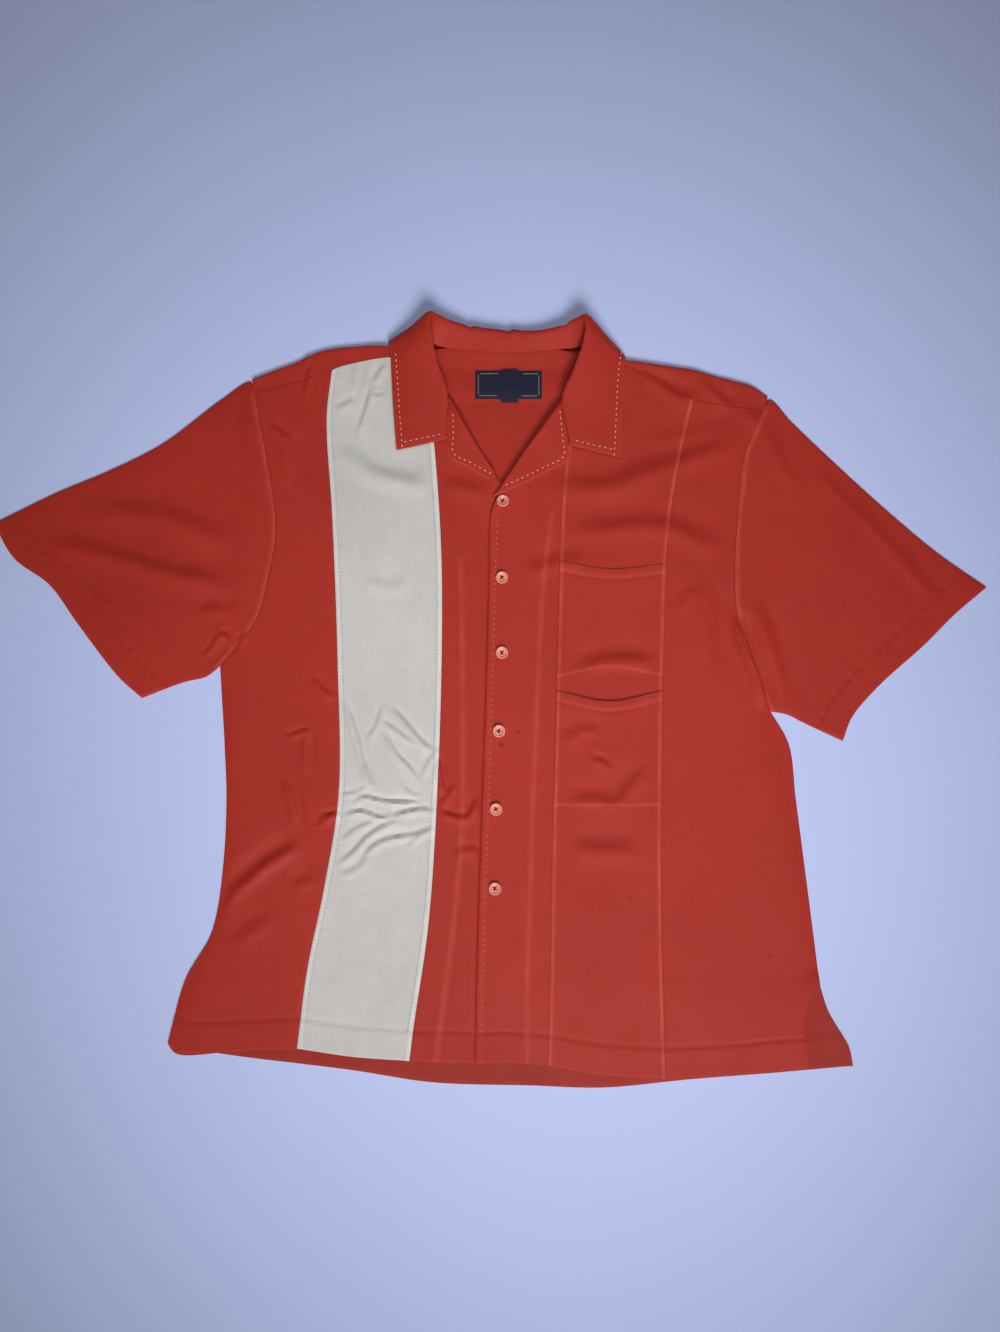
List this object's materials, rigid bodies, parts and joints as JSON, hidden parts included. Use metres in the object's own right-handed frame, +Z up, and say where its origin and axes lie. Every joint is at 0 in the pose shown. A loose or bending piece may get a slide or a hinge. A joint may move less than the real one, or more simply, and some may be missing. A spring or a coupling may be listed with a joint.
{
  "type": "bowling shirt",
  "caption": "Short-sleeved camp-collar shirt laid flat on its back, with a contrast panel down one front and stacked pockets on the other.",
  "frame": {"origin": "on the surface that the shirt lies on, under the middle of its outline", "axes": "+X across the shirt towards the wearer's left sleeve, +Y up the body from the hem to the collar, +Z up from the surface"},
  "size_m": [1.0307, 0.7872, 0.0285],
  "materials": {
    "shirt_cloth": "brick-red washed silk with a fine crepe surface and a soft satin sheen",
    "contrast_cloth": "warm light-beige silk of the same weight, soft satin sheen",
    "label_cloth": "dark navy woven label, plain",
    "button_resin": "coral polyester resin, polished rim"
  },
  "bodies": {
    "root": {"back": "shirt_cloth", "yoke": "shirt_cloth", "front_right_side": "shirt_cloth", "front_right_stripe": "contrast_cloth", "front_right_inner": "shirt_cloth", "front_left_placket": "shirt_cloth", "front_left_pocket_panel": "shirt_cloth", "front_left_side": "shirt_cloth", "pocket_upper": "shirt_cloth", "pocket_lower": "shirt_cloth", "sleeve_right": "shirt_cloth", "sleeve_left": "shirt_cloth", "collar": "shirt_cloth", "lapel_right": "shirt_cloth", "lapel_left": "shirt_cloth", "neck_label": "label_cloth", "size_tab": "label_cloth", "button_1": "button_resin", "button_2": "button_resin", "button_3": "button_resin", "button_4": "button_resin", "button_5": "button_resin", "button_6": "button_resin"}
  },
  "joints": []
}
